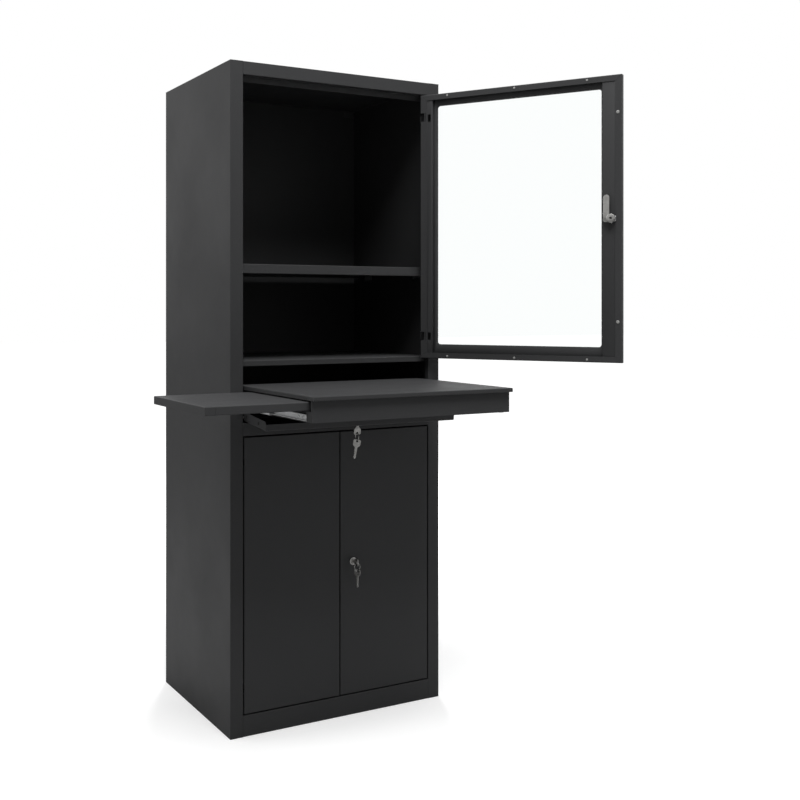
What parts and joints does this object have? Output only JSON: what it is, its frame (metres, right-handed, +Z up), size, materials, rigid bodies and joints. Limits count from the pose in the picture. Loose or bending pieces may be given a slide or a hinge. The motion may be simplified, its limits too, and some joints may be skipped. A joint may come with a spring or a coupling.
{
  "type": "computer armoire",
  "caption": "Tall steel computer armoire: glazed upper door, fold-down flap, pull-out keyboard worktop with sliding mouse tray, and a lockable lower cupboard.",
  "frame": {"origin": "centre of the carcass footprint, on the floor", "axes": "+X to the cabinet's right as seen from the front, -Y out of the front, +Z up"},
  "size_m": [1.1196, 0.9698, 1.76],
  "materials": {
    "anthracite": "fine-texture powder coat",
    "zinc": "bright zinc plated",
    "nickel": "nickel plated",
    "glass": "clear polished",
    "rubber": "matt",
    "pale_plastic": "satin",
    "dark_plastic": "satin"
  },
  "bodies": {
    "carcass": {"side_panel_left": "anthracite", "side_panel_right": "anthracite", "back_panel": "anthracite", "service_panel": "anthracite", "top_panel": "anthracite", "base_panel": "anthracite", "mid_rail": "anthracite", "partition": "anthracite", "monitor_shelf": "anthracite", "cupboard_shelf": "anthracite", "shelf_brackets": "zinc", "slide_bracket_left": "anthracite", "slide_bracket_right": "anthracite", "slide_outer_left": "zinc", "slide_outer_right": "zinc", "cable_surround": "rubber", "flap_pivots": "zinc", "door_catch": "dark_plastic", "upper_hinge_arms": "anthracite", "left_hinge_arms": "anthracite", "right_hinge_arms": "anthracite"},
    "upper_door": {"upper_door_frame": "anthracite", "glass_pane": "glass", "glass_gasket": "rubber", "upper_hinge_pins": "anthracite", "upper_buffers": "dark_plastic", "upper_lock_body": "nickel"},
    "upper_lock": {"upper_lock_cam": "zinc"},
    "left_door": {"left_door_panel": "anthracite", "left_door_stiffener": "anthracite", "left_hinge_pins": "anthracite"},
    "right_door": {"right_door_panel": "anthracite", "right_door_stiffener": "anthracite", "right_hinge_pins": "anthracite", "right_lock_body": "nickel"},
    "right_lock": {"right_lock_cam": "zinc", "right_lock_key": "nickel"},
    "right_spare": {"right_hanging_key": "nickel"},
    "flap": {"flap_panel": "anthracite", "flap_lock_body": "nickel"},
    "flap_lock": {"flap_lock_cam": "zinc", "flap_lock_key": "nickel"},
    "flap_spare": {"flap_hanging_key": "nickel"},
    "drawer": {"worktop": "anthracite", "drawer_front": "anthracite", "drawer_side_left": "anthracite", "drawer_side_right": "anthracite", "drawer_back": "anthracite", "tray_rail_front": "anthracite", "tray_rail_back": "anthracite", "tray_glides": "pale_plastic", "slide_inner_left": "zinc", "slide_inner_right": "zinc"},
    "tray": {"mouse_tray": "anthracite"},
    "slide_mid_left": {"slide_middle_left": "zinc"},
    "slide_mid_right": {"slide_middle_right": "zinc"}
  },
  "joints": [
    {"name": "upper_door_hinge", "type": "hinge", "parent": "carcass", "child": "upper_door", "pos_m": [0.2795, -0.2375, 1.348], "axis": [0, 0, 1], "range_deg": [-121.5, 0]},
    {"name": "upper_lock_turn", "type": "hinge", "parent": "upper_door", "child": "upper_lock", "pos_m": [0.56565, -0.69489, 1.349], "axis": [0.8526, 0.5225, 0], "range_deg": [0, 90]},
    {"name": "left_door_hinge", "type": "hinge", "parent": "carcass", "child": "left_door", "pos_m": [-0.2795, -0.2375, 0.419], "axis": [0, 0, -1], "range_deg": [0, 120]},
    {"name": "right_door_hinge", "type": "hinge", "parent": "carcass", "child": "right_door", "pos_m": [0.2795, -0.2375, 0.419], "axis": [0, 0, 1], "range_deg": [0, 120]},
    {"name": "right_lock_turn", "type": "hinge", "parent": "right_door", "child": "right_lock", "pos_m": [0.0407, -0.2425, 0.421], "axis": [0, -1, 0], "range_deg": [0, 90]},
    {"name": "right_spare_swing", "type": "hinge", "parent": "right_lock", "child": "right_spare", "pos_m": [0.0407, -0.2659, 0.421], "axis": [1, 0, 0], "range_deg": [-40, 8]},
    {"name": "flap_hinge", "type": "hinge", "parent": "carcass", "child": "flap", "pos_m": [0, -0.2345, 0.831], "axis": [-1, 0, 0], "range_deg": [0, 6.5]},
    {"name": "flap_lock_turn", "type": "hinge", "parent": "flap", "child": "flap_lock", "pos_m": [-0.009, -0.35301, 0.8105], "axis": [0, 0.1045, -0.9945], "range_deg": [0, 90]},
    {"name": "flap_spare_swing", "type": "hinge", "parent": "flap_lock", "child": "flap_spare", "pos_m": [-0.009, -0.35056, 0.78723], "axis": [0, 1, 0], "range_deg": [-30, 30]},
    {"name": "drawer_slide", "type": "slide", "parent": "carcass", "child": "drawer", "axis": [0, 1, 0], "range_m": [0, 0.026]},
    {"name": "tray_slide", "type": "slide", "parent": "drawer", "child": "tray", "axis": [1, 0, 0], "range_m": [0, 0.2565]},
    {"name": "slide_mid_left_travel", "type": "slide", "parent": "carcass", "child": "slide_mid_left", "axis": [0, 1, 0], "range_m": [0, 0.013]},
    {"name": "slide_mid_right_travel", "type": "slide", "parent": "carcass", "child": "slide_mid_right", "axis": [0, 1, 0], "range_m": [0, 0.013]}
  ],
  "couplings": [
    {"joint": "slide_mid_left_travel", "follows": "drawer_slide", "ratio": 0.5},
    {"joint": "slide_mid_right_travel", "follows": "drawer_slide", "ratio": 0.5}
  ]
}
